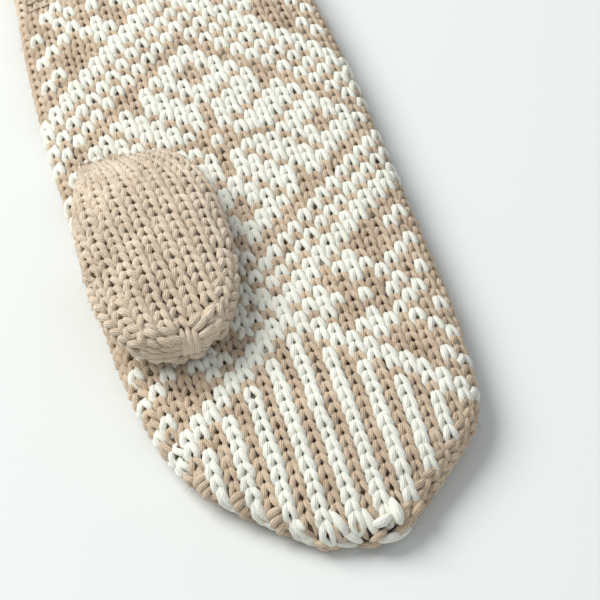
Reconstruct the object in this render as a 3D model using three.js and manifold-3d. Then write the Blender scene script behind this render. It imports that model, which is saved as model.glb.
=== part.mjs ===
// A knitted wool mitten lying palm up, in millimetres, with +Z up.
// The fingertips point to -Y, the wrist to +Y, and the thumb lies on the palm at -X.
// The origin is at the centre of the footprint, on the surface that the mitten lies on.

import * as THREE from "three";
import Module from "manifold-3d";
import { mergeVertices } from "three/addons/utils/BufferGeometryUtils.js";

// Driving sizes
const TOTAL_LENGTH = 266;
const CUFF_LENGTH = 40;
const HAND_THICKNESS = 17;
const THUMB_THICKNESS = 16;
const WALL = 3.2;
const GAP = 0.3;

// How round a flattened section is: 2 is an ellipse, and more is boxier
const SECTION_POWER = 2.5;
// How much of the underside is pressed flat by lying on the surface
const FLATTENED = 1.2;

// Facet counts
const ROUND_HAND = 40;
const ROUND_THUMB = 24;
const ROUND_CUFF = 72;

// Cuff
const CUFF_THICKNESS = 16;
const CUFF_HALF_WIDTH = 47;
const RIBS = 12;
const RIB_HEIGHT = 0.7;

// Thumb: where its hole sits in the palm, and how far its base reaches toward the fingertips
const THUMB_CENTRE_X = -28;
const THUMB_BASE_FROM_TIP = 148.8;
const HOLE_LENGTH = 26;
const HOLE_HALF_WIDTH = 17.5;

const TIP_Y = -TOTAL_LENGTH / 2;
const THUMB_BASE_Y = TIP_Y + THUMB_BASE_FROM_TIP;
const HAND_LENGTH = TOTAL_LENGTH - CUFF_LENGTH - GAP;
const PALM_TOP = HAND_THICKNESS;

// Outline of the hand, from the fingertip to the wrist. The fingertip leans a little to one side.
const HAND_OUTLINE = [
  { fromTip: 0.0, halfWidth: 5.0, thickness: 6.5, centreX: 2.6 },
  { fromTip: 2.5, halfWidth: 9.3, thickness: 8.6, centreX: 2.6 },
  { fromTip: 6.5, halfWidth: 14.6, thickness: 10.4, centreX: 2.7 },
  { fromTip: 12.0, halfWidth: 21.6, thickness: 12.2, centreX: 2.8 },
  { fromTip: 20.5, halfWidth: 31.2, thickness: 14.2, centreX: 2.9 },
  { fromTip: 28.0, halfWidth: 39.2, thickness: 15.4, centreX: 3.1 },
  { fromTip: 36.0, halfWidth: 44.2, thickness: 16.4, centreX: 2.5 },
  { fromTip: 48.0, halfWidth: 47.6, thickness: HAND_THICKNESS, centreX: 1.3 },
  { fromTip: 62.0, halfWidth: 49.6, thickness: HAND_THICKNESS, centreX: 0.6 },
  { fromTip: 82.0, halfWidth: 51.0, thickness: HAND_THICKNESS, centreX: 0.2 },
  { fromTip: 105.0, halfWidth: 51.5, thickness: HAND_THICKNESS, centreX: 0 },
  { fromTip: 132.0, halfWidth: 51.5, thickness: HAND_THICKNESS, centreX: 0 },
  { fromTip: 160.0, halfWidth: 51.5, thickness: HAND_THICKNESS, centreX: 0 },
  { fromTip: 195.0, halfWidth: 50.5, thickness: HAND_THICKNESS, centreX: 0 },
  { fromTip: HAND_LENGTH, halfWidth: CUFF_HALF_WIDTH + 1, thickness: CUFF_THICKNESS + 0.6, centreX: 0 },
];

// Outline of the thumb, from its base to its closed end. It rises out of the palm in a slope.
const THUMB_UNDERSIDE = PALM_TOP + GAP;
const THUMB_TOP = THUMB_UNDERSIDE + THUMB_THICKNESS;
const THUMB_OUTLINE = [
  { fromBase: 0.0, halfWidth: 17.5, top: THUMB_UNDERSIDE + 1.2 },
  { fromBase: 5.0, halfWidth: 18.2, top: THUMB_TOP - 10.8 },
  { fromBase: 10.0, halfWidth: 19.2, top: THUMB_TOP - 6.8 },
  { fromBase: 16.0, halfWidth: 20.6, top: THUMB_TOP - 3.3 },
  { fromBase: 24.0, halfWidth: 22.2, top: THUMB_TOP - 0.8 },
  { fromBase: 32.0, halfWidth: 23.0, top: THUMB_TOP },
  { fromBase: 42.0, halfWidth: 23.2, top: THUMB_TOP },
  { fromBase: 52.0, halfWidth: 23.1, top: THUMB_TOP },
  { fromBase: 61.0, halfWidth: 22.0, top: THUMB_TOP - 0.4 },
  { fromBase: 69.0, halfWidth: 19.6, top: THUMB_TOP - 1.6 },
  { fromBase: 75.0, halfWidth: 16.2, top: THUMB_TOP - 3.4 },
  { fromBase: 79.0, halfWidth: 12.2, top: THUMB_TOP - 5.6 },
  { fromBase: 81.8, halfWidth: 7.6, top: THUMB_TOP - 8.0 },
];
// How far the thumb drifts toward the edge of the hand by its end
const THUMB_DRIFT = -5.5;

// One point of a flattened round section: x across, h up and down, both from the centre
function sectionPoint(turn, halfWidth, halfHeight) {
  const power = 2 / SECTION_POWER;
  const c = Math.cos(turn);
  const s = Math.sin(turn);
  return {
    x: halfWidth * Math.sign(c) * Math.abs(c) ** power,
    h: halfHeight * Math.sign(s) * Math.abs(s) ** power,
  };
}

// A ring of points lying across the mitten at y, with its underside pressed flat at the height foot
function lyingRing(count, y, centreX, halfWidth, thickness, foot, pressed, ripple = () => 0) {
  const ring = [];
  const half = (thickness + pressed) / 2;
  for (let i = 0; i < count; i += 1) {
    const turn = (2 * Math.PI * i) / count;
    const grow = ripple(turn);
    const point = sectionPoint(turn, halfWidth + grow, half + grow);
    const z = Math.max(foot, foot - pressed + half + point.h);
    ring.push(new THREE.Vector3(centreX + point.x, y, z));
  }
  return ring;
}

// A closed body through rings that all have the same number of points, flat at both ends
function loft(rings) {
  const count = rings[0].length;
  const positions = [];
  const indices = [];
  for (const ring of rings) {
    for (const p of ring) {
      positions.push(p.x, p.y, p.z);
    }
  }
  for (let k = 0; k + 1 < rings.length; k += 1) {
    for (let i = 0; i < count; i += 1) {
      const a = k * count + i;
      const b = k * count + ((i + 1) % count);
      indices.push(a, b, a + count, b, b + count, a + count);
    }
  }
  const ends = [
    { first: 0, ring: rings[0], out: false },
    { first: (rings.length - 1) * count, ring: rings[rings.length - 1], out: true },
  ];
  for (const end of ends) {
    const middle = new THREE.Vector3();
    for (const p of end.ring) {
      middle.add(p);
    }
    middle.divideScalar(count);
    const centre = positions.length / 3;
    positions.push(middle.x, middle.y, middle.z);
    for (let i = 0; i < count; i += 1) {
      const a = end.first + i;
      const b = end.first + ((i + 1) % count);
      indices.push(...(end.out ? [a, b, centre] : [b, a, centre]));
    }
  }
  const geometry = new THREE.BufferGeometry();
  geometry.setAttribute("position", new THREE.Float32BufferAttribute(positions, 3));
  geometry.setIndex(indices);
  return geometry;
}

const wasm = await Module();
wasm.setup();

function toSolid(geometry) {
  const merged = mergeVertices(geometry, 1e-5);
  const vertProperties = new Float32Array(merged.attributes.position.array);
  const triVerts = new Uint32Array(merged.index.array);
  const solid = new wasm.Manifold(new wasm.Mesh({ numProp: 3, vertProperties, triVerts }));
  if (solid.volume() > 0) {
    return solid;
  }
  for (let i = 0; i < triVerts.length; i += 3) {
    const swap = triVerts[i];
    triVerts[i] = triVerts[i + 1];
    triVerts[i + 1] = swap;
  }
  return new wasm.Manifold(new wasm.Mesh({ numProp: 3, vertProperties, triVerts }));
}

function toGeometry(solid) {
  const mesh = solid.getMesh();
  const geometry = new THREE.BufferGeometry();
  geometry.setAttribute("position", new THREE.BufferAttribute(new Float32Array(mesh.vertProperties), 3));
  geometry.setIndex(new THREE.BufferAttribute(new Uint32Array(mesh.triVerts), 1));
  geometry.computeVertexNormals();
  return geometry;
}

// Hand: rings from the fingertip to the wrist, pulled in by inset all round
function handRings(inset) {
  const rings = [];
  for (const row of HAND_OUTLINE) {
    const halfWidth = row.halfWidth - inset;
    const thickness = row.thickness - 2 * inset;
    if (row.fromTip < inset) {
      continue;
    }
    const y = TIP_Y + row.fromTip;
    rings.push(lyingRing(ROUND_HAND, y, row.centreX, halfWidth, thickness, inset, FLATTENED));
  }
  return rings;
}

// Thumb: rings across its outline, pulled in by inset and reaching down to the height underside
function thumbRings(inset, underside) {
  const rings = [];
  const length = THUMB_OUTLINE[THUMB_OUTLINE.length - 1].fromBase;
  for (const row of THUMB_OUTLINE) {
    if (row.top - inset <= underside) {
      continue;
    }
    const halfWidth = row.halfWidth - inset;
    const thickness = row.top - inset - underside;
    if (row.fromBase > length - inset) {
      continue;
    }
    const centreX = THUMB_CENTRE_X + (THUMB_DRIFT * row.fromBase) / length;
    const y = THUMB_BASE_Y - row.fromBase;
    rings.push(lyingRing(ROUND_THUMB, y, centreX, halfWidth, thickness, underside, 0));
  }
  return rings;
}

// An upright plug in the place of the thumb hole, grown all round by grow
function holePlug(grow, low, high) {
  const halfLength = HOLE_LENGTH / 2;
  const y = THUMB_BASE_Y - halfLength;
  return [low, high].map((z) =>
    Array.from({ length: ROUND_THUMB }, (_, i) => {
      const turn = (2 * Math.PI * i) / ROUND_THUMB;
      const point = sectionPoint(turn, HOLE_HALF_WIDTH + grow, halfLength + grow);
      return new THREE.Vector3(THUMB_CENTRE_X + point.x, y + point.h, z);
    }),
  );
}

// Cuff: a short tube with ribs that run toward the wrist's edge
function cuffRings(inset, overrun) {
  const ripple = (turn) => (inset > 0 ? 0 : RIB_HEIGHT * Math.cos(RIBS * turn));
  const start = TIP_Y + HAND_LENGTH + GAP - overrun;
  const end = TIP_Y + TOTAL_LENGTH + overrun;
  const halfWidth = CUFF_HALF_WIDTH - inset;
  const thickness = CUFF_THICKNESS - 2 * inset;
  return [start, end].map((y) =>
    lyingRing(ROUND_CUFF, y, 0, halfWidth, thickness, inset, FLATTENED, ripple),
  );
}

// How far a cutter runs past what it cuts
const CUT_OVERRUN = 3;
const holeFloor = PALM_TOP - WALL;

// The hollow of the hand runs out through the wrist
const handHollow = handRings(WALL);
const lastRing = handHollow[handHollow.length - 1];
handHollow.push(lastRing.map((p) => new THREE.Vector3(p.x, p.y + CUT_OVERRUN, p.z)));

// The thumb lies on the palm, and a collar under its base stands in the thumb hole
const thumbOuter = toSolid(loft(thumbRings(0, THUMB_UNDERSIDE))).add(
  toSolid(loft(holePlug(0, holeFloor + GAP, THUMB_UNDERSIDE + GAP))),
);
const thumbHollow = toSolid(loft(thumbRings(WALL, THUMB_UNDERSIDE + WALL)));
// The way down into the hand stays one wall below the thumb's slope
const wayDown = toSolid(loft(holePlug(-WALL, holeFloor - CUT_OVERRUN, THUMB_TOP))).intersect(
  toSolid(loft(thumbRings(WALL, 0))),
);
const holeCutter = toSolid(loft(holePlug(GAP, holeFloor - CUT_OVERRUN, THUMB_TOP)));

const handSolid = toSolid(loft(handRings(0))).subtract(toSolid(loft(handHollow))).subtract(holeCutter);
const thumbSolid = thumbOuter.subtract(thumbHollow).subtract(wayDown);
const cuffSolid = toSolid(loft(cuffRings(0, 0))).subtract(toSolid(loft(cuffRings(WALL, CUT_OVERRUN))));

// Colours of the two yarns
const SAND_YARN = new THREE.MeshStandardMaterial({ color: 0xc6ab90, roughness: 0.95, metalness: 0 });
const IVORY_YARN = new THREE.MeshStandardMaterial({ color: 0xe9e4d9, roughness: 0.95, metalness: 0 });

function piece(name, solid, material) {
  const mesh = new THREE.Mesh(toGeometry(solid), material);
  mesh.name = name;
  return mesh;
}

const group = new THREE.Group();
group.add(piece("hand", handSolid, IVORY_YARN));
group.add(piece("thumb", thumbSolid, SAND_YARN));
group.add(piece("cuff", cuffSolid, SAND_YARN));

// The footprint's centre is the origin, though the thumb overhangs the hand on one side
const footprint = new THREE.Box3().setFromObject(group);
group.position.x = -(footprint.min.x + footprint.max.x) / 2;

export default group;
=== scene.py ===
"""A stranded wool mitten lying palm up, with every stitch made of its own loop of yarn.

Lengths are in millimetres, and turn to metres where a mesh is made.
"""

from dataclasses import dataclass
import math
from typing import Callable

import bpy
import numpy as np
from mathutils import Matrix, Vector


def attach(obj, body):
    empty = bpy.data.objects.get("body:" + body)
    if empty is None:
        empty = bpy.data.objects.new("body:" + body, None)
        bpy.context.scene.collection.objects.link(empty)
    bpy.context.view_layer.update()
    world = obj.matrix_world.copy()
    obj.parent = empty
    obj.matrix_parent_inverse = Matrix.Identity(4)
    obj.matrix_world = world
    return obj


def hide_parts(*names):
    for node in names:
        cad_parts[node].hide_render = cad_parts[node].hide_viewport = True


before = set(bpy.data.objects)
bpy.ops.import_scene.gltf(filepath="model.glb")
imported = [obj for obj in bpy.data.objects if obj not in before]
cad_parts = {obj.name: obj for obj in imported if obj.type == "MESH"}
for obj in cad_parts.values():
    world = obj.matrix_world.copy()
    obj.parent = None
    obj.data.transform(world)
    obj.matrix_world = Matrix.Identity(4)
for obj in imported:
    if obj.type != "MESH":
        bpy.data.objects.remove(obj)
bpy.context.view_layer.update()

MM = 0.001

# Sizes of the mitten, as in the solids
TOTAL_LENGTH = 266
CUFF_LENGTH = 40
HAND_LENGTH = TOTAL_LENGTH - CUFF_LENGTH - 0.3
TIP_Y = -TOTAL_LENGTH / 2
CUFF_THICKNESS = 16.0
CUFF_HALF_WIDTH = 47.0
THUMB_BASE_Y = TIP_Y + 148.8
THUMB_CENTRE_X = -28.0
THUMB_DRIFT = -5.5
THUMB_UNDERSIDE = 17.3
# The thumb overhangs the hand at one side, so the hand stands this far off the middle
HAND_X = 1.55
# How round a section is: 2 is an ellipse. The thumb is plumper, so its sides round under it.
SECTION_POWER = 2.5
THUMB_SECTION_POWER = 2.1
# How much of the underside is pressed flat by lying on the floor
FLATTENED = 1.2
# The cuff starts as wide and thick as the hand ends, and draws in over the blend
CUFF_BLEND = 8
CUFF_START_WIDER = 1
CUFF_START_THICKER = 0.6
# Past this distance from its base, the thumb's end curls up: its top and underside rise this much
CURL_FROM = 62
CURL_TOP = 2.7
CURL_UNDERSIDE = 3.2

# A tube of cloth is measured at this spacing along it and at so many even places round it, which
# are found from this many turns of its section
SLEEVE_STEP = 0.5
SLEEVE_ROUND = 481
SLEEVE_TURNS = 2401
# However narrow a tube gets, the middle of its yarn keeps these half sizes, and the thumb this
# thickness
LEAST_HALF_HEIGHT = 0.6
LEAST_HALF_WIDTH = 1.0
LEAST_THICKNESS = 1.6

# Outline of the hand: distance from the fingertip, half width, thickness, lean to the side
HAND_OUTLINE = np.array([
    (0.0, 5.0, 6.5, 2.6),
    (2.5, 9.3, 8.6, 2.6),
    (6.5, 14.6, 10.4, 2.7),
    (12.0, 21.6, 12.2, 2.8),
    (20.5, 31.2, 14.2, 2.9),
    (28.0, 39.2, 15.4, 3.1),
    (36.0, 44.2, 16.4, 2.5),
    (48.0, 47.6, 17.0, 1.3),
    (62.0, 49.6, 17.0, 0.6),
    (82.0, 51.0, 17.0, 0.2),
    (105.0, 51.5, 17.0, 0.0),
    (132.0, 51.5, 17.0, 0.0),
    (160.0, 51.5, 17.0, 0.0),
    (195.0, 50.5, 17.0, 0.0),
    (HAND_LENGTH, 48.0, 16.6, 0.0),
])
# Outline of the thumb: distance from its base, half width, height of its top
THUMB_OUTLINE = np.array([
    (0.0, 17.5, 18.5),
    (5.0, 18.2, 22.5),
    (10.0, 19.2, 26.5),
    (16.0, 20.6, 30.0),
    (24.0, 22.2, 32.5),
    (32.0, 23.0, 33.3),
    (42.0, 23.2, 33.3),
    (52.0, 23.1, 33.3),
    (61.0, 22.0, 32.9),
    (69.0, 19.6, 31.7),
    (75.0, 16.2, 29.9),
    (79.0, 12.2, 27.7),
    (81.8, 7.6, 25.3),
])
THUMB_LENGTH = THUMB_OUTLINE[-1, 0]

# Gauge of the hand: one wale is a column of stitches, one course a row.
# Wales to each side of the middle one, on the palm and on the back
HAND_FACE_WALES = (12, 12)
# Where a tube tapers, its wales get no narrower than this, and the outer ones end
NARROWEST_WALE = 4.2
COURSE = 3.72
# The courses are counted from the one where the lower lattice lines cross, at this distance
CROSSING_FROM_TIP = 78.3
FIRST_COURSE = -39
LAST_COURSE = 19
# Distances from the fingertip where the knit is split into separate meshes, to keep each one small
HAND_SPLITS = (0, 79, 151, 230)

# Stretches where the tubes taper: distances from the fingertip, and from the thumb's base
HAND_TAPER = (4.5, 80.0)
THUMB_TAPER = (52.0, 79.0)
# Where the hand's chains run, and how many wales the left one lies round under the edge
HAND_CHAIN = (4.5, 36.0)
LEFT_CHAIN_UNDER = 1.3
# How much thicker the yarn of a chain looks
CHAIN_YARN = 1.05
# A tapering course ends in a decrease, at least NARROW_DECREASE wales wide. One that comes out
# narrower than LEAST_DECREASE is left out. Its yarn is thin, and plumper by what a whole wale adds.
NARROW_DECREASE = 0.5
LEAST_DECREASE = 0.2
DECREASE_YARN = 0.92
DECREASE_PLUMPER = 0.18
SIDE_RAISE = 0.1

# The light yarn is carried lower behind the work, so its stitches come out bigger and stand prouder
LIGHT_YARN = 1.15
LIGHT_REACH = 1.18
LIGHT_RAISE = 0.25
SAND_REACH = 1.08
SAND_RAISE = -0.1

# Gauge of the thumb. Its first course lies FIRST_THUMB_COURSE courses from the base.
THUMB_FACE_WALES = (5, 4)
THUMB_NARROWEST_WALE = 4.8
THUMB_COURSE = 3.42
FIRST_THUMB_COURSE = 0.45
THUMB_LAST_COURSE_AT = 78.5
THUMB_YARN = 1.12
# Yarn radius in wales that the thumb's narrow stitches don't pass
THUMB_MOST_YARN = 0.24
# How far the thumb's wales wander round it for each millimetre along it
THUMB_WALE_DRIFT = 0.12
# The thumb's cloth swells in two lobes beside the knot, over the last stretch before its end
LOBE_RISE = 1.3
LOBE_FROM_KNOT = 9.0
LOBE_WIDTH = 5
LOBE_LENGTH = 20

# Gauge of the cuff: two knit wales stand out and two purl wales lie back
CUFF_WALES = 48
RIB_REPEAT = 4
CUFF_COURSE = 3.7
# How far the last course lies from the wrist's edge, and how much of the cuff carries no course
CUFF_EDGE = 2.5
CUFF_ENDS = 3
RIB_RAISE = 0.35
CUFF_RAISE = -0.3

# One loop of yarn: how far its legs spread in wales, how far it reaches in courses and how deep it
# weaves in and out of the cloth, whose middle lies LOOP_INSET under the solids' surface
LOOP_SPREAD = 0.25
LOOP_REACH = 0.82
LOOP_DEPTH = 0.82
LOOP_INSET = 1.75
LOOP_STEPS = 13
# How much closer together the steps lie where the yarn turns over
LOOP_CROWDING = 0.18
# How uneven the knitting is, and each thing's share of it: a stitch's width, tilt, shift aside,
# height, thickness and slip along the wale. Each tube has its own draw.
HAND_DRAW = 5
THUMB_DRAW = 8
CUFF_DRAW = 11
LOOSENESS = 0.105
UNEVEN = np.array([1.0, 0.7, 0.35, 0.5, 0.6, 0.5])

# Yarn: plump where a leg shows, drawn thin where it turns under its neighbours
YARN_RADIUS = 0.83
YARN_SWELL = 0.36
YARN_FLATTEN = 1.08
RING_SIDES = 7
# Separate legs of yarn at the closed ends, and how thin they are drawn at both of their ends
DROP_STEPS = 9
DROP_SIDES = 8
DROP_ENDS = 0.25
# Below 1, a leg plumps up quickly from its ends
DROP_PLUMPING = 0.6

# Strands seen in the yarn, how far they run for one twist, and how far and how often they wander
STRANDS = 10
TWIST_MM = 20.0
WANDER_TURNS = 0.8
WANDER_MM = 1.4
# Fibres in the yarn's surface: one's length, and how many lie round the yarn. Real ones are too
# fine for the render, so these are drawn about eight times as coarse.
FIBRE_RUN_MM = 0.8
FIBRES_ROUND = 22
# Size of the paler and darker places that dyeing leaves
BLOTCH_MM = 9.0
# How deep the strands and fibres are cut into the yarn
BUMP_MM = 0.2
# Where a noise counts as dark and as light: the fibres', and the tone of painted shade and dye
# blotches together
FIBRE_NOISE = (0.3, 0.7)
TONE = (0.6, 1.4)
# The tone that is left where a strand or a fibre lies deepest, in the darkest painted shade
DEEPEST_TONE = 0.35

# Stray fibres for each stitch of the palm, the back and the thumb, and how long and thick they are.
# A real fibre is about 0.015 mm in radius and would not show, so these are three times as thick.
PALM_FIBRES = 8
BACK_FIBRES = 4
THUMB_FIBRES = 10
FIBRE_LENGTH = (0.7, 1.9)
FIBRE_RADIUS = 0.045
# How far they rise for their length, how deep they are rooted, and how far they turn off the yarn
FIBRE_LIFT = 0.6
FIBRE_ROOT = 0.1
FIBRE_SPLAY = 0.35
FIBRE_SIDES = 3

# The knit stays this far over the floor, and the floor's faint clouds are this large
FLOOR_GAP = 0.04
FLOOR_CLOUD_MM = 500

# Walls behind the stitches: depths of their outside and inside in the cloth, and how many of the
# cloth's places lie between their corners, along and round
WALL_OUTSIDE = 2.6
WALL_INSIDE = 3.1
WALL_STEP_ALONG = 8
WALL_STEP_ROUND = 4
# How many of those places the walls leave free at the closed ends, and at the thumb's base
HAND_WALL_FROM = 14
THUMB_WALL_FROM = 12
THUMB_WALL_SHORT = 8

# Where a sand wale ends at the left edge, the stitches knitted together lie across it as a knob
KNOB_WALES = (5, 7, 9)
KNOB_STRANDS = 3
KNOB_SPACING = 1.5
KNOB_RADIUS = 1.15
# Its length in wales, how far it rises, and how far its ends bow down again
KNOB_LENGTH = 1.15
KNOB_RISE = 1.8
KNOB_BOW = 6
# How far from the side's own line the knobs stand, toward the wrist
KNOB_BACK = 1.6

# The thumb's knot: a bundle of drawn strands at the middle of the gathered end
KNOT_STRANDS = 3
KNOT_SPACING = 1.75
KNOT_RADIUS = 1.2
# How far the gathered end lies to the side of the thumb's middle, and the strands beside that
KNOT_SHIFT = 2.2
KNOT_ASIDE = 0.9
# The strands bend down over the end on this radius, starting from and going through these turns in
# degrees. The bend's centre is at this height, and this share of the radius behind the end.
KNOT_BEND = 4.8
KNOT_TURN_FROM = 82
KNOT_TURN = 150
KNOT_HEIGHT = 24.8
KNOT_MIDDLE = 0.88
# Stitches come in to the knot from both sides. The end of the thumb curves away from it, so they
# stand back by END_CURVE times the square of their distance, and turn back by END_TURN times it.
SIDE_LENGTH = 5.4
SIDE_RADIUS = 1.2
END_CURVE = 0.028
END_TURN = 0.055
# All of them stand this much higher and further back than their table says, and bow out by this
SIDE_LIFT = 0.6
SIDE_BACK = 0.4
SIDE_BOW = (0, -0.8, 0.3)
# Which way the closed ends of the hand and the thumb face
TIP_OUTWARD = (0.0, -0.8, 0.6)
END_OUTWARD = (0.0, -0.9, 0.45)

# Camera: the photo's angle, with a long lens. The last two are in metres.
CAMERA_AZIMUTH = -16.84
CAMERA_ELEVATION = 51.7
CAMERA_LENS = 129.6
SENSOR_WIDTH = 36
CAMERA_DISTANCE = 0.633
LOOKS_AT = Vector((0.0075, -0.0528, 0.017))


def smooth_rows(outline, at):
    """Reads an outline's columns at the distances at, on a smooth curve through its rows."""
    x = outline[:, 0]
    columns = []
    for y in outline[:, 1:].T:
        slope = np.gradient(y, x)
        i = np.clip(np.searchsorted(x, at) - 1, 0, len(x) - 2)
        h = x[i + 1] - x[i]
        t = np.clip((at - x[i]) / h, 0, 1)
        columns.append(
            (2 * t**3 - 3 * t**2 + 1) * y[i]
            + (t**3 - 2 * t**2 + t) * h * slope[i]
            + (3 * t**2 - 2 * t**3) * y[i + 1]
            + (t**3 - t**2) * h * slope[i + 1]
        )
    return columns


def signed_power(value, power):
    return np.sign(value) * np.abs(value) ** power


class Sleeve:
    """A flattened knitted tube, read by distance along it and by arc length round it.

    The arc starts at the middle of the top face and grows toward +X.
    """

    def __init__(self, along, y, centre_x, half_width, bottom, top, pressed, inset, power):
        self.along = along
        self.forward = np.sign(y[-1] - y[0])
        turn = np.linspace(-math.pi, math.pi, SLEEVE_TURNS)
        across = signed_power(np.sin(turn), 2 / power)
        upward = signed_power(np.cos(turn), 2 / power)
        grid = []
        rounds = []
        for k in range(len(along)):
            half = max((top[k] - bottom[k]) / 2 + pressed / 2 - inset, LEAST_HALF_HEIGHT)
            middle = (top[k] + bottom[k] - pressed) / 2
            x = centre_x[k] + max(half_width[k] - inset, LEAST_HALF_WIDTH) * across
            z = np.maximum(middle + half * upward, bottom[k] + inset)
            length = np.concatenate([[0.0], np.cumsum(np.hypot(np.diff(x), np.diff(z)))])
            even = np.linspace(0, length[-1], SLEEVE_ROUND)
            x, z = np.interp(even, length, x), np.interp(even, length, z)
            grid.append(np.stack([x, np.full(SLEEVE_ROUND, y[k]), z], axis=1))
            rounds.append(length[-1])
        self.grid = np.array(grid)
        self.rounds = np.array(rounds)
        lengthwise = np.gradient(self.grid, axis=0)
        crosswise = np.gradient(self.grid, axis=1)
        crosswise[:, 0] = crosswise[:, -1] = self.grid[:, 1] - self.grid[:, -2]
        normal = np.cross(lengthwise, crosswise)
        normal /= np.linalg.norm(normal, axis=2, keepdims=True) + 1e-12
        if normal[len(along) // 2, SLEEVE_ROUND // 2, 2] < 0:
            normal = -normal
        self.normal = normal

    def round_at(self, along):
        return np.interp(along, self.along, self.rounds)

    def place(self, along, arc, out):
        """World points at a distance along, an arc length round and a height out of the cloth."""
        row = np.clip((along - self.along[0]) / SLEEVE_STEP, 0, len(self.along) - 1.001)
        part = arc / self.round_at(along) + 0.5
        part = part - np.floor(part)
        column = part * (SLEEVE_ROUND - 1)
        i = row.astype(int)
        j = np.minimum(column.astype(int), SLEEVE_ROUND - 2)
        u = (row - i)[..., None]
        v = (column - j)[..., None]

        def blend(grid):
            low = grid[i, j] * (1 - v) + grid[i, j + 1] * v
            high = grid[i + 1, j] * (1 - v) + grid[i + 1, j + 1] * v
            return low * (1 - u) + high * u

        point = blend(self.grid) + blend(self.normal) * out[..., None]
        beyond = along - np.clip(along, self.along[0], self.along[-1])
        point[..., 1] += beyond * self.forward
        return point


def hand_sleeve(inset=LOOP_INSET):
    along = np.arange(0.0, HAND_LENGTH + SLEEVE_STEP, SLEEVE_STEP)
    half_width, thickness, lean = smooth_rows(HAND_OUTLINE, along)
    bottom = np.zeros_like(along)
    return Sleeve(along, TIP_Y + along, HAND_X + lean, half_width, bottom, thickness, FLATTENED,
                  inset, SECTION_POWER)


def thumb_sleeve(inset=LOOP_INSET):
    along = np.arange(0.0, THUMB_LENGTH + SLEEVE_STEP, SLEEVE_STEP)
    half_width, top = smooth_rows(THUMB_OUTLINE, along)
    centre_x = THUMB_CENTRE_X + HAND_X + THUMB_DRIFT * along / THUMB_LENGTH
    curl = np.clip((along - CURL_FROM) / (THUMB_LENGTH - CURL_FROM), 0, 1) ** 2
    top = top + CURL_TOP * curl
    bottom = np.minimum(THUMB_UNDERSIDE + CURL_UNDERSIDE * curl, top - 2 * inset - LEAST_THICKNESS)
    return Sleeve(along, THUMB_BASE_Y - along, centre_x, half_width, bottom, top, 0.0,
                  inset, THUMB_SECTION_POWER)


def cuff_sleeve(inset=LOOP_INSET):
    along = np.arange(0.0, CUFF_LENGTH + SLEEVE_STEP, SLEEVE_STEP)
    half_width = CUFF_HALF_WIDTH + np.interp(along, [0, CUFF_BLEND], [CUFF_START_WIDER, 0])
    thickness = CUFF_THICKNESS + np.interp(along, [0, CUFF_BLEND], [CUFF_START_THICKER, 0])
    bottom = np.zeros_like(along)
    y = TIP_Y + TOTAL_LENGTH - CUFF_LENGTH + along
    return Sleeve(along, y, bottom + HAND_X, half_width, bottom, thickness, FLATTENED,
                  inset, SECTION_POWER)


# The eight-petalled star, one quarter: a row for each course from its middle, # is the light yarn
STAR_QUARTER = [
    "#....##...##",
    "..###.##.##",
    ".#.###.###",
    ".##.###.#",
    ".###.###",
    "#.###.#",
    "##.##.",
    ".##.#",
    "..##",
    ".##",
    "##",
    "#",
]
# The chart repeats after so many courses, and the star's middle lies halfway
CHART_REPEAT = 38
STAR_COURSE = 19
# Small figures in the side diamonds: wales from the middle, courses from the crossing
SIDE_FIGURES = {
    (2, 0), (3, 0), (3, 1), (4, 0),
    (5, 3), (6, 2), (6, 3), (6, 4), (7, 3), (6, 0),
    (8, 0), (9, 1), (10, 0),
    (8, 2), (9, 3), (10, 4), (11, 5),
    (10, 7), (11, 8), (11, 2),
}
# Counted in courses from the crossing lines: the lattice has two lines and two more beyond them,
# the star stands past those, and toward the fingertip the stripes start
LATTICE_LINES = (0, 1)
STAR_LINES = (3, 5)
STAR_FROM = 8
STRIPES_FROM = 3


def is_light(wale, course):
    """Whether the stitch is knitted in the light yarn, by the mitten's chart."""
    if course < 0:
        in_repeat = (course + CHART_REPEAT // 2) % CHART_REPEAT - CHART_REPEAT // 2
    else:
        in_repeat = course
    aside = abs(wale)
    from_crossing = abs(in_repeat)
    past_lattice = from_crossing - aside
    if past_lattice in LATTICE_LINES:
        return True
    if past_lattice < 0:
        return (aside, from_crossing) in SIDE_FIGURES
    if course > 0:
        return past_lattice >= STRIPES_FROM and aside % 2 == 0
    if past_lattice in STAR_LINES:
        return True
    if past_lattice < STAR_FROM:
        return False
    row = STAR_QUARTER[min(abs(from_crossing - STAR_COURSE), len(STAR_QUARTER) - 1)]
    return aside < len(row) and row[aside] == "#"


def loop_path():
    """The middle line of one knitted loop: wales across, courses along, millimetres out."""
    even = np.linspace(0, 2 * math.pi, LOOP_STEPS)
    turn = even - LOOP_CROWDING * np.sin(4 * even)
    across = turn / (2 * math.pi) - 0.5 + LOOP_SPREAD * np.sin(2 * turn)
    along = LOOP_REACH * -np.cos(turn)
    out = -LOOP_DEPTH * np.cos(2 * turn)
    return across, along, out, turn


def sweep(paths, radius, sides, flatten, outward):
    """Tubes along many paths at once: their vertices, and the length along each tube.

    paths is tubes x steps x 3 and outward the cloth's normal there.
    """
    tangent = np.gradient(paths, axis=1)
    tangent /= np.linalg.norm(tangent, axis=2, keepdims=True) + 1e-12
    side = np.cross(tangent, outward)
    side /= np.linalg.norm(side, axis=2, keepdims=True) + 1e-12
    lift = np.cross(side, tangent)
    angle = np.linspace(0, 2 * math.pi, sides, endpoint=False)
    ring = (
        side[:, :, None, :] * np.cos(angle)[None, None, :, None] * flatten
        + lift[:, :, None, :] * np.sin(angle)[None, None, :, None] / flatten
    )
    points = paths[:, :, None, :] + ring * radius[..., None, None]
    length = np.linalg.norm(np.diff(paths, axis=1), axis=2)
    length = np.concatenate([np.zeros((len(paths), 1)), np.cumsum(length, axis=1)], axis=1)
    return points, length


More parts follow.
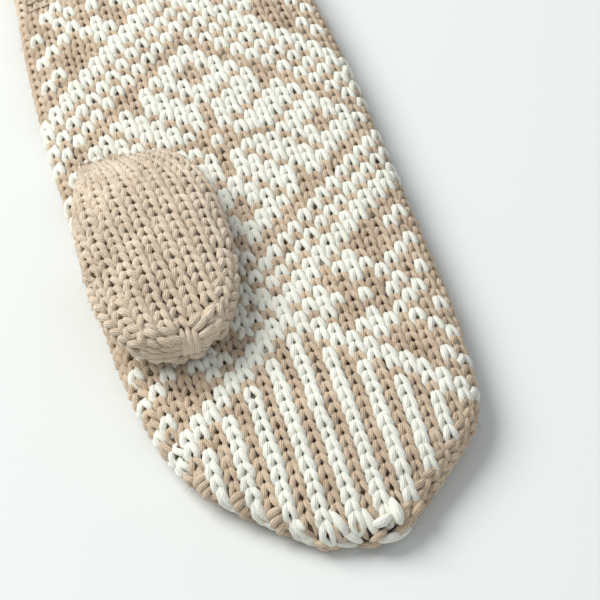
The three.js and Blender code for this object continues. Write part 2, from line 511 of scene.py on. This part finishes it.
def mesh_object(name, points, length, light, yarns):
    """One object holding many tubes, coloured tube by tube, with a map along and round the yarn."""
    tubes, steps, sides, _ = points.shape
    # Each tube starts at its own place in the yarn
    length = length + np.random.default_rng(tubes).uniform(0, 5 * TWIST_MM, (tubes, 1))
    tube, step, side = np.meshgrid(np.arange(tubes), np.arange(steps - 1), np.arange(sides),
                                   indexing="ij")
    base = tube * steps * sides
    a = base + step * sides + side
    b = base + step * sides + (side + 1) % sides
    faces = np.stack([a, a + sides, b + sides, b], axis=-1).reshape(-1, 4)
    u0 = np.take_along_axis(length, step.reshape(tubes, -1), axis=1).reshape(tube.shape)
    u1 = np.take_along_axis(length, step.reshape(tubes, -1) + 1, axis=1).reshape(tube.shape)
    v0 = side / sides
    v1 = (side + 1) / sides
    uv = np.stack([
        np.stack([u0, v0], -1), np.stack([u1, v0], -1),
        np.stack([u1, v1], -1), np.stack([u0, v1], -1),
    ], axis=-2).reshape(-1, 2)
    # What lies on the floor is pressed flat there
    points = np.concatenate([points[..., :2], np.maximum(points[..., 2:], FLOOR_GAP)], axis=-1)
    mesh = bpy.data.meshes.new(name)
    flat = points.reshape(-1, 3) * MM
    mesh.vertices.add(len(flat))
    mesh.vertices.foreach_set("co", flat.astype(np.float32).ravel())
    mesh.loops.add(faces.size)
    mesh.loops.foreach_set("vertex_index", faces.astype(np.int32).ravel())
    mesh.polygons.add(len(faces))
    mesh.polygons.foreach_set("loop_start", np.arange(0, faces.size, 4, dtype=np.int32))
    for yarn in yarns:
        mesh.materials.append(yarn)
    yarn_index = np.repeat(light.astype(np.int32), (steps - 1) * sides)
    mesh.polygons.foreach_set("material_index", yarn_index)
    layer = mesh.uv_layers.new(name="Yarn")
    layer.data.foreach_set("uv", uv.astype(np.float32).ravel())
    mesh.update(calc_edges=True)
    mesh.validate()
    mesh.shade_smooth()
    return link_object(name, mesh)


def link_object(name, data):
    piece = bpy.data.objects.new(name, data)
    bpy.context.scene.collection.objects.link(piece)
    return piece


def finish_piece(piece, slot, *nodes):
    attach(piece, "root")
    if nodes:
        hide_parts(*nodes)


# Columns of a table of stitches: distance along, arc length round, width of its wale, height of
# its course, radius of its yarn, lean, height out of the cloth, 1 for knit and -1 for purl, and
# then the face of the tube, 0 or 1, and whether its yarn is the light one
ALONG, ARC, WALE, REACH, SIZE, LEAN, RAISED, FRONT, FACE, LIGHT = range(10)


def knit(sleeve, stitches, rng, direction):
    """Loops for many stitches, whose columns are those of a table of stitches up to FACE.

    direction is -1 where the knitting grows toward smaller distances along the sleeve.
    """
    along, arc, wale, course, size, lean, raised, front = stitches[:, :FACE].T[..., None]
    across, lengthwise, out, turn = loop_path()
    loose = rng.normal(0, LOOSENESS, (len(UNEVEN), len(stitches), 1)) * UNEVEN[:, None, None]
    wide, tilt, shift, tall, thick, slip = loose
    place_along = along + direction * course * (lengthwise * (1 + tall) + slip)
    place_arc = arc + wale * (across * (1 + wide) + tilt * lengthwise + shift)
    place_arc = place_arc + lean * (place_along - along)
    height = front * out + raised
    paths = sleeve.place(place_along, place_arc, height)
    outward = sleeve.place(place_along, place_arc, height + 1.0) - paths
    swell = 1 - YARN_SWELL / 2 + YARN_SWELL * np.sin(turn) ** 2
    return sweep(paths, size * swell * (1 + thick), RING_SIDES, YARN_FLATTEN, outward)


@dataclass
class Gauge:
    """How a tube is knitted: its wales, where it tapers, how tall its stitches are and its yarns.

    The faces have face_wales wales on either side of their middles. Where they would get narrower
    than narrowest, in the stretch taper, the outer ones end in a decrease. In the stretch chained
    a chain of stitches runs along each side, the left one under wales round from the side. A
    stitch is tall high and its yarn has the radius. drift reads how far the wales wander toward
    +X, and chart which stitches are light.
    """

    sleeve: Sleeve
    face_wales: tuple
    narrowest: float
    taper: tuple
    chained: tuple
    under: float
    tall: float
    radius: float
    drift: Callable
    chart: Callable

    def wander(self, along, face):
        """The drift as an arc length, which grows toward -X on the back."""
        return -self.drift(along) if face else self.drift(along)

    def growth(self, along):
        """How much a quarter of the round grows for each millimetre along."""
        over_two = self.sleeve.round_at(along + 1) - self.sleeve.round_at(along - 1)
        return float(over_two) / 8

    def measure(self, along, face):
        """How a face is knitted at a distance along.

        It gives the round, the width of a wale, the wander, the room to each side of the face's
        middle, the wales kept on each side, and the width of the chain.
        """
        total = float(self.sleeve.round_at(along))
        wale = total / (2 * sum(self.face_wales) + 2)
        most = self.face_wales[face]
        shift = self.wander(along, face)
        if not self.taper[0] < along < self.taper[1] or wale > self.narrowest:
            return total, wale, shift, (total / 4, total / 4), (most, most), 0
        wale = self.narrowest
        chain = wale if self.chained[0] < along < self.chained[1] else 0
        left = self.under * chain
        quarter = total / 4 - chain / 2
        room = (quarter, quarter - left) if face else (quarter + left, quarter)
        # The last wale kept reaches half its width past its middle, and the decrease beyond that
        kept = tuple(min(int((room[k] - side * shift) / wale - NARROW_DECREASE - 0.5), most)
                     for k, side in enumerate((-1, 1)))
        return total, wale, shift, room, kept, chain

    def course(self, along):
        """One course of stitches round the tube, as rows of a table of stitches."""
        rows = []
        for face in (0, 1):
            total, wale, shift, _, kept, _ = self.measure(along, face)
            lean = self.wander(along + 0.5, face) - self.wander(along - 0.5, face)
            lean += 2 * face * self.growth(along)
            for n in range(-kept[0], kept[1] + 1):
                light = self.chart(n, along)
                size = self.radius * (LIGHT_YARN if light else 1)
                reach = self.tall * (LIGHT_REACH if light else SAND_REACH)
                raised = LIGHT_RAISE if light else SAND_RAISE
                arc = face * total / 2 + shift + n * wale
                rows.append((along, arc, wale, reach, size, lean, raised, 1, face, light))
        return rows

    def sides(self):
        """The decreases and the chain along both sides, spaced by the length of the side itself."""
        edge = self.sleeve.grid[:, 3 * (SLEEVE_ROUND - 1) // 4]
        length = np.concatenate([[0], np.cumsum(np.linalg.norm(np.diff(edge, axis=0), axis=1))])
        start, stop = np.interp(self.taper, self.sleeve.along, length)
        rows = []
        for along in np.interp(np.arange(start, stop, self.tall), length, self.sleeve.along):
            growth = self.growth(along)
            # How much of a stitch's height runs along the tube
            over_two = np.interp([along - 1, along + 1], self.sleeve.along, length)
            tall = 2 * self.tall / float(over_two[1] - over_two[0])
            for face in (0, 1):
                total, wale, shift, room, kept, chain = self.measure(along, face)
                if kept[0] == self.face_wales[face] and not chain:
                    continue
                middle = face * total / 2
                for k, side in enumerate((-1, 1)):
                    width = room[k] - side * shift - (kept[k] + 0.5) * wale
                    if width < LEAST_DECREASE * wale:
                        continue
                    arc = middle + side * (room[k] - width / 2)
                    # The right edge is plain sand where the chain runs
                    on_left = k == face
                    light = (on_left or not chain) and self.chart(kept[k] + 1, along)
                    size = self.radius * (DECREASE_YARN + DECREASE_PLUMPER * width / wale)
                    lean = (2 * face + side) * growth
                    rows.append((along, arc, width, tall, size, lean, SIDE_RAISE, 1, face, light))
                if chain:
                    arc = middle + room[1] + chain / 2
                    lean = (2 * face + 1) * growth
                    size = self.radius * CHAIN_YARN
                    rows.append((along, arc, wale, tall, size, lean, SIDE_RAISE, 1, face, False))
        return rows


def hand_drift(along):
    """The wales of the palm run straight on, while the fingertip itself leans to the side."""
    return -float(smooth_rows(HAND_OUTLINE, np.array([max(along, 0.0)]))[2][0])


def thumb_drift(along):
    """The wales of the thumb run straight along the hand, while the thumb itself leans outward."""
    return KNOT_SHIFT + THUMB_WALE_DRIFT * (along - THUMB_LENGTH)


def hand_chart(wale, along):
    return is_light(wale, round((CROSSING_FROM_TIP - along) / COURSE))


def plain_chart(wale, along):
    return False


def srgb(text):
    """A hex colour as the linear colour that shaders take."""
    values = [int(text[i:i + 2], 16) / 255 for i in (1, 3, 5)]
    linear = [v / 12.92 if v <= 0.04045 else ((v + 0.055) / 1.055) ** 2.4 for v in values]
    return (*linear, 1.0)


def add_node(tree, kind, links=None, values=None, **properties):
    """Adds a node with its properties, links into its sockets, and values of its other sockets."""
    node = tree.nodes.new(kind)
    for name, value in properties.items():
        setattr(node, name, value)
    for socket, output in (links or {}).items():
        tree.links.new(output, node.inputs[socket])
    for socket, value in (values or {}).items():
        node.inputs[socket].default_value = value
    return node


def empty_material(name):
    material = bpy.data.materials.new(name)
    material.use_nodes = True
    material.node_tree.nodes.clear()
    return material, material.node_tree


def wool(name, light, dark, fuzz, relief):
    """Soft wool yarn spun of many strands, which is matt, as its fibres scatter light every way.

    Fine strands twist along it and wander, fibres lie along them, and blotches of dye show. light
    is its colour on the strands; dark is painted shade between the strands and fibres, and the
    dye's darker blotches. fuzz is the pale bloom of its loose fibres and relief how clearly its
    strands stand out.
    """
    material, tree = empty_material(name)
    uv = add_node(tree, "ShaderNodeUVMap", uv_map="Yarn")
    yarn = add_node(tree, "ShaderNodeSeparateXYZ", {0: uv.outputs[0]})
    place = add_node(tree, "ShaderNodeTexCoord")

    # Strands: a wave round the yarn that turns along it
    twist = add_node(tree, "ShaderNodeMath", {0: yarn.outputs[0]}, {1: 1 / TWIST_MM},
                     operation="MULTIPLY")
    strands = add_node(tree, "ShaderNodeMath", {0: yarn.outputs[1]}, {1: STRANDS},
                       operation="MULTIPLY")
    straight = add_node(tree, "ShaderNodeMath", {0: twist.outputs[0], 1: strands.outputs[0]},
                        operation="ADD")
    wander = add_node(tree, "ShaderNodeTexNoise", {"Vector": place.outputs["Object"]},
                      {"Scale": 1 / (WANDER_MM * MM), "Detail": 1.0})
    phase = add_node(tree, "ShaderNodeMath", {1: wander.outputs[0], 2: straight.outputs[0]},
                     {0: WANDER_TURNS}, operation="MULTIPLY_ADD")
    turns = add_node(tree, "ShaderNodeMath", {0: phase.outputs[0]}, {1: 2 * math.pi},
                     operation="MULTIPLY")
    strand = add_node(tree, "ShaderNodeMath", {0: turns.outputs[0]}, operation="SINE")
    strand_level = add_node(tree, "ShaderNodeMapRange", {0: strand.outputs[0]}, {"From Min": -1.0})

    # Fibres: noise drawn out along the yarn
    fibre_along = add_node(tree, "ShaderNodeMath", {0: yarn.outputs[0]}, {1: 1 / FIBRE_RUN_MM},
                           operation="MULTIPLY")
    fibre_round = add_node(tree, "ShaderNodeMath", {0: yarn.outputs[1]}, {1: FIBRES_ROUND},
                           operation="MULTIPLY")
    fibre_place = add_node(tree, "ShaderNodeCombineXYZ",
                           {0: fibre_along.outputs[0], 1: fibre_round.outputs[0]})
    fibres = add_node(tree, "ShaderNodeTexNoise", {"Vector": fibre_place.outputs[0]},
                      {"Scale": 1.0, "Detail": 2.0, "Roughness": 0.6})
    fibre_level = add_node(tree, "ShaderNodeMapRange", {0: fibres.outputs[0]},
                           {"From Min": FIBRE_NOISE[0], "From Max": FIBRE_NOISE[1]})

    # Colour: painted shade between the strands and fibres, and darker where the dye took more
    blotch = add_node(tree, "ShaderNodeTexNoise", {"Vector": place.outputs["Object"]},
                      {"Scale": 1 / (BLOTCH_MM * MM), "Detail": 2.0})
    both = {0: strand_level.outputs[0], 1: fibre_level.outputs[0]}
    level = add_node(tree, "ShaderNodeMath", both, {2: DEEPEST_TONE}, operation="MULTIPLY_ADD")
    tone = add_node(tree, "ShaderNodeMath", {0: level.outputs[0], 1: blotch.outputs[0]},
                    operation="ADD")
    share = add_node(tree, "ShaderNodeMapRange", {0: tone.outputs[0]},
                     {"From Min": TONE[0], "From Max": TONE[1]})
    colour = add_node(tree, "ShaderNodeMix", {0: share.outputs[0]}, {6: srgb(dark), 7: srgb(light)},
                      data_type="RGBA")

    height = add_node(tree, "ShaderNodeMath", both, operation="ADD")
    bump = add_node(tree, "ShaderNodeBump", {"Height": height.outputs[0]},
                    {"Strength": relief, "Distance": BUMP_MM * MM})
    shader = add_node(tree, "ShaderNodeBsdfPrincipled",
                      {"Base Color": colour.outputs[2], "Normal": bump.outputs[0]},
                      {"Roughness": 0.92, "Specular IOR Level": 0.18,
                       "Sheen Weight": fuzz, "Sheen Roughness": 0.6,
                       "Subsurface Weight": 0.12, "Subsurface Radius": (0.0012, 0.0008, 0.0006)})
    add_node(tree, "ShaderNodeOutputMaterial", {"Surface": shader.outputs[0]})
    return material


# Undyed wool, washed white: a milky white, with only faint grey painted shade between its strands
ivory_wool = wool("ivory_wool_yarn", "#F6F7EC", "#D9D7C9", 0.2, 0.55)
# Wool dyed a warm sand before spinning, with deeper painted shade between its strands, so the
# twist shows clearly
sand_wool = wool("sand_wool_yarn", "#F0E0C9", "#B29B80", 0.25, 0.75)
# The same yarn in a deeper colour, painted shade for where it lies among the ivory stitches,
# which stand over it
sand_wool_painted_shade = wool("sand_wool_yarn_painted_shade_between_ivory", "#E6D1B6", "#A0876B", 0.25, 0.75)
# The inside of the knit, where the carried yarns lie in shade, as a dull brown with little bloom:
# painted shade seen through the gaps between the stitches
inside_wall_painted_shade = wool("inside_wall_painted_shade", "#A98C70", "#7A624C", 0.1, 0.8)
PLAIN_YARNS = [sand_wool, ivory_wool]
# Everything on the patterned hand takes the sand with painted shade
STRANDED_YARNS = [sand_wool_painted_shade, ivory_wool]


def stray_fibres(name, points, light, each, yarns, slot, rng):
    """Single fibres that stand off the yarn, which soften its outline as brushed wool does."""
    tubes, steps, sides, _ = points.shape
    count = tubes * each
    tube = np.repeat(np.arange(tubes), each)
    # They root away from the ends of each loop, which lie hidden under its neighbours
    step = rng.integers(2, steps - 3, count)
    side = rng.integers(0, sides, count)
    root = points[tube, step, side]
    outward = root - points[tube, step].mean(axis=1)
    outward /= np.linalg.norm(outward, axis=1, keepdims=True) + 1e-9
    forward = points[tube, step + 1, side] - root
    forward /= np.linalg.norm(forward, axis=1, keepdims=True) + 1e-9
    heading = forward * rng.choice([-1, 1], (count, 1)) + rng.normal(0, FIBRE_SPLAY, (count, 3))
    reach = rng.uniform(*FIBRE_LENGTH, (count, 1))
    s = np.array([0.0, 0.5, 1.0])[None, :, None]
    rise = outward[:, None, :] * reach[:, None, :] * (FIBRE_LIFT * s - FIBRE_ROOT)
    paths = root[:, None, :] + heading[:, None, :] * reach[:, None, :] * s + rise
    # Those that would go into the floor lie on it
    paths[..., 2] = np.maximum(paths[..., 2], FLOOR_GAP + 1.5 * FIBRE_RADIUS)
    outward = np.repeat(outward[:, None, :], paths.shape[1], axis=1)
    hairs, length = sweep(paths, np.full(paths.shape[:2], FIBRE_RADIUS), FIBRE_SIDES, 1.0, outward)
    finish_piece(mesh_object(name, hairs, length, light[tube], yarns), slot)


def build_hand():
    rng = np.random.default_rng(HAND_DRAW)
    sleeve = hand_sleeve()
    gauge = Gauge(sleeve, HAND_FACE_WALES, NARROWEST_WALE, HAND_TAPER, HAND_CHAIN, LEFT_CHAIN_UNDER,
                  COURSE, YARN_RADIUS, hand_drift, hand_chart)
    rows = gauge.sides()
    for course in range(FIRST_COURSE, LAST_COURSE + 1):
        rows += gauge.course(CROSSING_FROM_TIP - COURSE * course)
    rows = np.array(rows, float)
    for face, (face_name, fibres) in enumerate((("palm", PALM_FIBRES), ("back", BACK_FIBRES))):
        for k, (start, stop) in enumerate(zip(HAND_SPLITS, HAND_SPLITS[1:])):
            pick = (rows[:, FACE] == face) & (rows[:, ALONG] >= start) & (rows[:, ALONG] < stop)
            light = rows[pick, LIGHT]
            points, length = knit(sleeve, rows[pick], rng, -1)
            piece = mesh_object(f"{face_name}_knit_{k + 1}", points, length, light, STRANDED_YARNS)
            finish_piece(piece, "patterned_knit", "hand")
            stray_fibres(f"{face_name}_fibres_{k + 1}", points, light, fibres, STRANDED_YARNS,
                         "patterned_knit", rng)


def drops(name, paths, radius, light, outward, yarns, slot):
    """Separate plump legs of yarn along the paths, drawn thin at both ends."""
    thin_to_plump = np.sin(np.linspace(0, math.pi, DROP_STEPS)) ** DROP_PLUMPING
    swell = DROP_ENDS + (1 - DROP_ENDS) * thin_to_plump
    points, length = sweep(paths, radius[:, None] * swell, DROP_SIDES, YARN_FLATTEN, outward)
    finish_piece(mesh_object(name, points, length, light, yarns), slot)


# The loops that close the fingertip: middle to the side of the tip, distance from the tip, height,
# direction in degrees from +X, upward slope in degrees, length, radius, light yarn or not
TIP_LOOPS = np.array([
    (-18.1, 12.6, 8.0, -71, 14, 9.2, 1.25, 1),
    (-13.9, 9.0, 3.0, -33, 0, 6.8, 1.2, 1),
    (-7.2, 7.9, 9.5, -65, -23, 8.6, 1.4, 1),
    (-4.7, 4.7, 6.5, -36, -26, 7.8, 1.25, 1),
    (-7.1, 5.4, 3.2, -25, -3, 10.0, 1.15, 1),
    (-2.0, 6.5, 8.0, -68, -27, 9.9, 1.2, 0),
    (1.1, 5.7, 9.0, -72, -29, 9.2, 1.3, 1),
    (4.1, 4.9, 10.0, 10, 16, 6.8, 1.5, 1),
    (8.8, 6.3, 10.3, 94, 18, 8.2, 1.65, 1),
    (5.2, 1.9, 5.5, 0, 10, 6.6, 1.3, 1),
    (2.5, 2.4, 7.0, 14, 24, 5.9, 1.1, 0),
    (9.7, 3.8, 6.0, 23, 15, 8.5, 1.25, 0),
    (0.4, 2.8, 3.0, -11, 0, 7.1, 1.15, 0),
    (-15.2, 10.4, 5.5, -53, -9, 7.2, 1.2, 0),
    (14.8, 6.9, 7.5, 25, 34, 6.4, 1.2, 0),
    (-10.0, 6.0, 2.4, -20, 0, 8.0, 1.2, 0),
    (9.0, 3.6, 2.6, 18, 0, 9.0, 1.2, 1),
])
# Each loop bows outward, so that its ends tuck in under its neighbours
TIP_RISE = 0.5
TIP_BOW = 5.2


def build_tip():
    across, from_tip, height, heading, slope, length, radius, light = TIP_LOOPS.T
    heading = np.radians(heading)
    slope = np.radians(slope)
    tip_x = HAND_X + HAND_OUTLINE[0, 3]
    middle = np.stack([tip_x + across, TIP_Y + from_tip, height], axis=1)
    step = np.stack([np.cos(heading) * np.cos(slope), np.sin(heading) * np.cos(slope),
                     np.sin(slope)], axis=1)
    s = np.linspace(-0.5, 0.5, DROP_STEPS)
    paths = middle[:, None, :] + s[None, :, None] * (length[:, None] * step)[:, None, :]
    outward = np.zeros_like(paths) + np.array(TIP_OUTWARD)
    paths = paths + outward * (TIP_RISE - TIP_BOW * s**2)[None, :, None]
    drops("fingertip_closing_loops", paths, radius, light, outward, STRANDED_YARNS,
          "patterned_knit")


def build_left_knobs():
    sleeve = hand_sleeve()
    drift = np.array([hand_drift(along) for along in sleeve.along])
    room = np.maximum.accumulate(sleeve.rounds / 4 + drift)
    s = np.linspace(-0.5, 0.5, DROP_STEPS)
    height = KNOB_RISE - KNOB_BOW * s**2
    paths = []
    outward = []
    for wale in KNOB_WALES:
        at = float(np.interp(wale * NARROWEST_WALE, room, sleeve.along)) + KNOB_BACK
        arc = hand_drift(at) - wale * NARROWEST_WALE + KNOB_LENGTH * NARROWEST_WALE * s
        for k in range(KNOB_STRANDS):
            along = at + (k - (KNOB_STRANDS - 1) / 2) * KNOB_SPACING + 0 * s
            paths.append(sleeve.place(along, arc, height))
            outward.append(sleeve.place(along, arc, height + 1) - paths[-1])
    count = len(paths)
    drops("left_edge_decrease_knobs", np.array(paths), np.full(count, KNOB_RADIUS), np.zeros(count),
          np.array(outward), STRANDED_YARNS, "patterned_knit")


def build_thumb():
    rng = np.random.default_rng(THUMB_DRAW)
    sleeve = thumb_sleeve()
    # The thumb's top and sides slope, so its courses are spaced along the cloth itself. Round the
    # thumb the top's slope gives way to the sides', so half of their squares' sum counts.
    half_width, top = smooth_rows(THUMB_OUTLINE, sleeve.along)
    slope = np.gradient(top, sleeve.along) ** 2 + np.gradient(half_width, sleeve.along) ** 2
    cloth = np.cumsum(np.sqrt(1 + slope / 2)) * SLEEVE_STEP
    gauge = Gauge(sleeve, THUMB_FACE_WALES, THUMB_NARROWEST_WALE, THUMB_TAPER, THUMB_TAPER, 0,
                  THUMB_COURSE, YARN_RADIUS * THUMB_YARN, thumb_drift, plain_chart)
    rows = gauge.sides()
    for place in np.arange(FIRST_THUMB_COURSE * THUMB_COURSE, cloth[-1], THUMB_COURSE):
        along = float(np.interp(place, cloth, sleeve.along))
        if along < THUMB_LAST_COURSE_AT:
            rows += gauge.course(along)
    rows = np.array(rows, float)
    rows[:, SIZE] = np.minimum(rows[:, SIZE], rows[:, WALE] * THUMB_MOST_YARN)
    from_lobe = np.abs(rows[:, ARC] - KNOT_SHIFT) - LOBE_FROM_KNOT
    near_end = np.clip((rows[:, ALONG] - THUMB_TAPER[0]) / LOBE_LENGTH, 0, 1)
    rows[:, RAISED] += LOBE_RISE * np.exp(-(from_lobe / LOBE_WIDTH) ** 2) * near_end
    light = rows[:, LIGHT]
    points, length = knit(sleeve, rows, rng, 1)
    piece = mesh_object("thumb_knit", points, length, light, PLAIN_YARNS)
    finish_piece(piece, "plain_knit", "thumb")
    stray_fibres("thumb_fibres", points, light, THUMB_FIBRES, PLAIN_YARNS, "plain_knit", rng)


# Stitches beside the thumb's knot: place to its side, height, upward slope in degrees toward it,
# and how far back from the end
SIDE_STITCHES = np.array([
    (-4.6, 29.6, -34, 2.4),
    (-8.2, 29.2, -30, 3.6),
    (-8.4, 28.4, -26, 1.7),
    (-11.8, 27.8, -26, 3.4),
    (-5.8, 28.0, -22, 0.0),
    (-5.6, 25.2, -6, 0.0),
    (-5.6, 22.8, 10, 0.0),
    (-5.0, 20.4, 22, 0.0),
    (-9.4, 27.0, -18, 0.0),
    (-9.2, 24.2, -4, 0.0),
    (-9.0, 21.8, 12, 0.0),
    (-8.6, 19.6, 20, 0.0),
    (-12.8, 25.2, -18, 0.0),
    (-12.6, 22.4, 4, 0.0),
    (-12.4, 20.2, 14, 0.0),
    (-2.4, 19.4, 12, 0.0),
    (-3.0, 28.0, -24, 0.9),
    (-3.2, 25.8, -8, 0.2),
    (-3.0, 23.2, 8, 0.0),
    (3.2, 30.2, -40, 4.0),
    (4.6, 29.6, -34, 2.4),
    (7.4, 29.4, -30, 3.8),
    (5.8, 28.0, -22, 0.2),
    (5.6, 25.2, -6, 0.2),
    (5.4, 23.0, 14, 0.4),
    (4.6, 21.2, 30, 0.8),
    (9.0, 27.2, -18, 0.6),
    (8.8, 24.8, 0, 0.8),
    (8.4, 22.8, 20, 1.2),
    (11.6, 26.4, -20, 2.0),
    (11.4, 24.2, 6, 2.2),
    (2.4, 19.6, 12, 0.2),
])


def build_gathered_end():
    s = np.linspace(0, 1, DROP_STEPS)
    knot_x = THUMB_CENTRE_X + HAND_X + THUMB_DRIFT + KNOT_SHIFT
    end_y = THUMB_BASE_Y - THUMB_LENGTH
    paths = []
    turn = np.radians(KNOT_TURN_FROM - KNOT_TURN * s)
    for k in range(KNOT_STRANDS):
        x = knot_x + KNOT_ASIDE + (k - (KNOT_STRANDS - 1) / 2) * KNOT_SPACING
        y = end_y + KNOT_BEND * (KNOT_MIDDLE - np.cos(turn))
        z = KNOT_HEIGHT + KNOT_BEND * np.sin(turn)
        paths.append(np.stack([np.full_like(s, x), y, z], axis=1))
    bow = np.array(SIDE_BOW) * np.sin(math.pi * s)[:, None]
    for reach, height, slope, back in SIDE_STITCHES:
        y = end_y + SIDE_BACK + END_CURVE * reach**2 + back
        middle = np.array([knot_x + reach, y, height + SIDE_LIFT])
        level = math.cos(math.radians(slope))
        step = np.array([-np.sign(reach) * level, -END_TURN * abs(reach) * level,
                         math.sin(math.radians(slope))])
        paths.append(middle + (s[:, None] - 0.5) * SIDE_LENGTH * step + bow)
    paths = np.array(paths)
    outward = np.zeros_like(paths) + np.array(END_OUTWARD)
    radius = np.where(np.arange(len(paths)) < KNOT_STRANDS, KNOT_RADIUS, SIDE_RADIUS)
    drops("thumb_gathered_end", paths, radius, np.zeros(len(paths)), outward, PLAIN_YARNS,
          "plain_knit")


def build_cuff():
    rng = np.random.default_rng(CUFF_DRAW)
    sleeve = cuff_sleeve()
    rows = []
    for course in range(int((CUFF_LENGTH - CUFF_ENDS) / CUFF_COURSE) + 1):
        along = CUFF_LENGTH - CUFF_EDGE - CUFF_COURSE * course
        wale = float(sleeve.round_at(along)) / CUFF_WALES
        for n in range(CUFF_WALES):
            front = 1 if (n + 1) % RIB_REPEAT < RIB_REPEAT / 2 else -1
            arc = (n + 0.5 - CUFF_WALES / 2) * wale
            raised = front * RIB_RAISE + CUFF_RAISE
            rows.append((along, arc, wale, CUFF_COURSE, YARN_RADIUS, 0, raised, front))
    points, length = knit(sleeve, np.array(rows), rng, -1)
    piece = mesh_object("cuff_knit", points, length, np.zeros(len(rows)), PLAIN_YARNS)
    finish_piece(piece, "ribbed_knit", "cuff")


def wall_object(name, outer, inner, keep):
    """A thin wall between two sleeves, joined at the far rim, at the rows keep of their grids."""
    rings = np.concatenate([outer.grid[keep, :-1:WALL_STEP_ROUND],
                            inner.grid[keep, :-1:WALL_STEP_ROUND][::-1]])
    count = rings.shape[1]
    faces = []
    for k in range(len(rings) - 1):
        for i in range(count):
            j = (i + 1) % count
            faces.append((k * count + i, k * count + j, (k + 1) * count + j, (k + 1) * count + i))
    mesh = bpy.data.meshes.new(name)
    mesh.from_pydata((rings.reshape(-1, 3) * MM).tolist(), [], faces)
    # The wall's dull brown is painted shade for the dark between the stitches
    mesh.materials.append(inside_wall_painted_shade)
    mesh.uv_layers.new(name="Yarn")
    mesh.shade_smooth()
    return link_object(name, mesh)


def build_insides():
    """Walls behind the stitches, so that no light comes through between them.

    They start and end short of the closed ends, which the loops of yarn fill.
    """
    hand_rows = slice(HAND_WALL_FROM, None, WALL_STEP_ALONG)
    thumb_rows = slice(THUMB_WALL_FROM, -THUMB_WALL_SHORT, WALL_STEP_ALONG)
    cuff_rows = slice(0, None, WALL_STEP_ALONG)
    for name, sleeve, keep, slot in (("hand_inside", hand_sleeve, hand_rows, "patterned_knit"),
                                     ("thumb_inside", thumb_sleeve, thumb_rows, "plain_knit"),
                                     ("cuff_inside", cuff_sleeve, cuff_rows, "ribbed_knit")):
        wall = wall_object(name, sleeve(WALL_OUTSIDE), sleeve(WALL_INSIDE), keep)
        finish_piece(wall, slot)


def build_floor():
    """A plain pale floor with a faint unevenness, so that it doesn't look like an empty page."""
    # Matt painted board: an even pale grey with almost no shine
    material, tree = empty_material("pale_matt_painted_board")
    place = add_node(tree, "ShaderNodeTexCoord")
    noise = add_node(tree, "ShaderNodeTexNoise", {"Vector": place.outputs["Object"]},
                     {"Scale": 1 / (FLOOR_CLOUD_MM * MM), "Detail": 1.0})
    colour = add_node(tree, "ShaderNodeMix", {0: noise.outputs[0]},
                      {6: srgb("#DFE2E0"), 7: srgb("#E3E6E4")}, data_type="RGBA")
    shader = add_node(tree, "ShaderNodeBsdfPrincipled", {"Base Color": colour.outputs[2]},
                      {"Roughness": 0.85, "Specular IOR Level": 0.2})
    add_node(tree, "ShaderNodeOutputMaterial", {"Surface": shader.outputs[0]})
    # Half the floor's side, in metres
    half = 2.5
    mesh = bpy.data.meshes.new("floor")
    corners = [(-half, -half, 0), (half, -half, 0), (half, half, 0), (-half, half, 0)]
    mesh.from_pydata(corners, [], [(0, 1, 2, 3)])
    mesh.materials.append(material)
    link_object("floor", mesh)


def look_along(thing, direction):
    thing.rotation_mode = "QUATERNION"
    thing.rotation_quaternion = direction.to_track_quat("-Z", "Y")


def build_camera():
    a = math.radians(CAMERA_AZIMUTH)
    e = math.radians(CAMERA_ELEVATION)
    back = Vector((math.sin(a) * math.cos(e), -math.cos(a) * math.cos(e), math.sin(e)))
    data = bpy.data.cameras.new("camera")
    data.lens = CAMERA_LENS
    data.sensor_width = SENSOR_WIDTH
    camera = link_object("camera", data)
    camera.location = LOOKS_AT + back * CAMERA_DISTANCE
    look_along(camera, -back)
    bpy.context.scene.camera = camera


def softbox(name, place, size, power, colour):
    """A round soft light, in metres and watts, turned to the mitten."""
    data = bpy.data.lights.new(name, "AREA")
    data.shape = "DISK"
    data.size = size
    data.energy = power
    data.color = colour
    lamp = link_object(name, data)
    lamp.location = place
    look_along(lamp, LOOKS_AT - Vector(place))


def build_light():
    # Daylight from the wrist's side over the thumb, a weak fill from the front, and a pale room
    softbox("window_light", (-0.89, 0.70, 1.20), 1.15, 30.4, (1.0, 0.99, 0.965))
    softbox("front_fill", (0.2, -1.4, 1.3), 1.4, 3.6, (0.97, 0.99, 1.0))
    world = bpy.data.worlds.new("studio")
    bpy.context.scene.world = world
    world.use_nodes = True
    background = world.node_tree.nodes["Background"]
    background.inputs["Color"].default_value = (0.93, 0.96, 1.0, 1)
    background.inputs["Strength"].default_value = 0.43
    bpy.context.scene.view_settings.view_transform = "Standard"


build_hand()
build_tip()
build_left_knobs()
build_thumb()
build_gathered_end()
build_cuff()
build_insides()
build_floor()
build_camera()
build_light()
